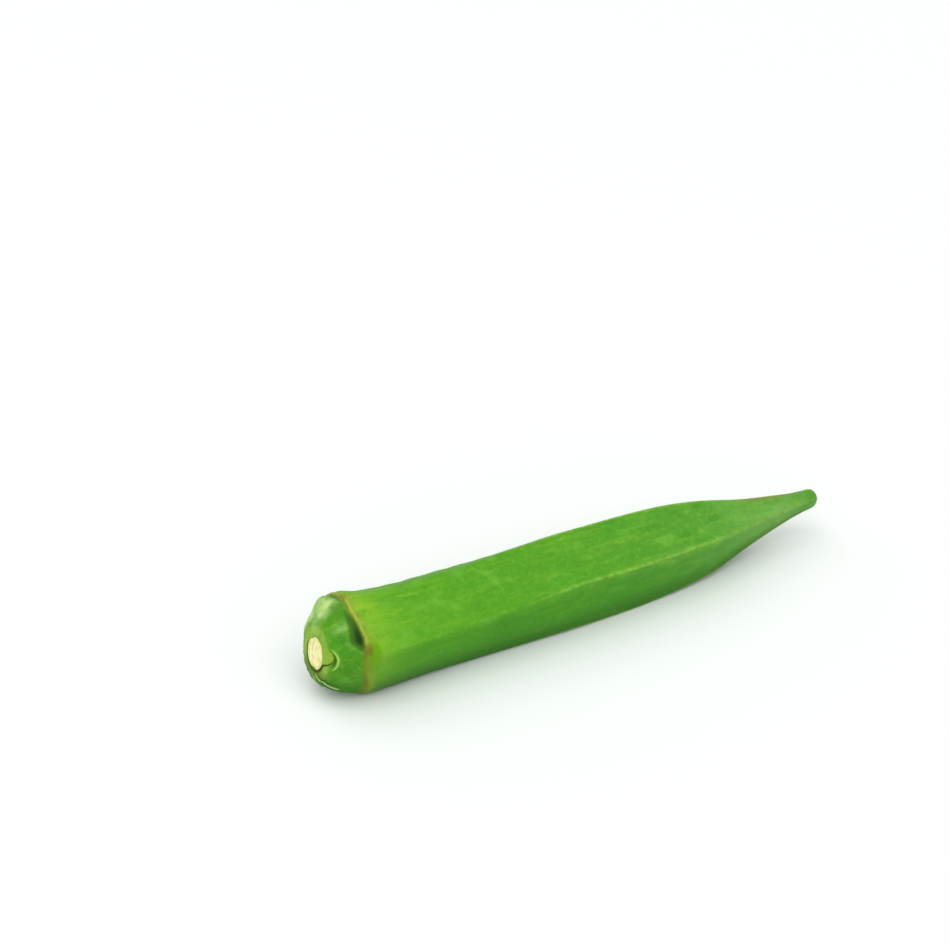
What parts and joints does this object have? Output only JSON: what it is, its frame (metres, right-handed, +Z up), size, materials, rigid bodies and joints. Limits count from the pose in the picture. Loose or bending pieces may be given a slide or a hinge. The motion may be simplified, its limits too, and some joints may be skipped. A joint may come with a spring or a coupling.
{
  "type": "okra pod",
  "caption": "Fresh okra pod lying on its side: a ridged, tapering green pod with a blunt cap, a wavy collar scar and a cut stem.",
  "frame": {"origin": "under the middle of the pod's box, on the surface it lies on", "axes": "+X runs along the pod from the cut stem to the tip, +Z is up, and -Y is the side that the picture shows"},
  "size_m": [0.1104, 0.0178, 0.0176],
  "materials": {
    "pod_skin": "grass-green plant skin with a soft satin sheen and fine down, yellower behind the collar; the cut stem shows pale cream pith"
  },
  "bodies": {
    "root": {"okra_pod": "pod_skin"}
  },
  "joints": []
}
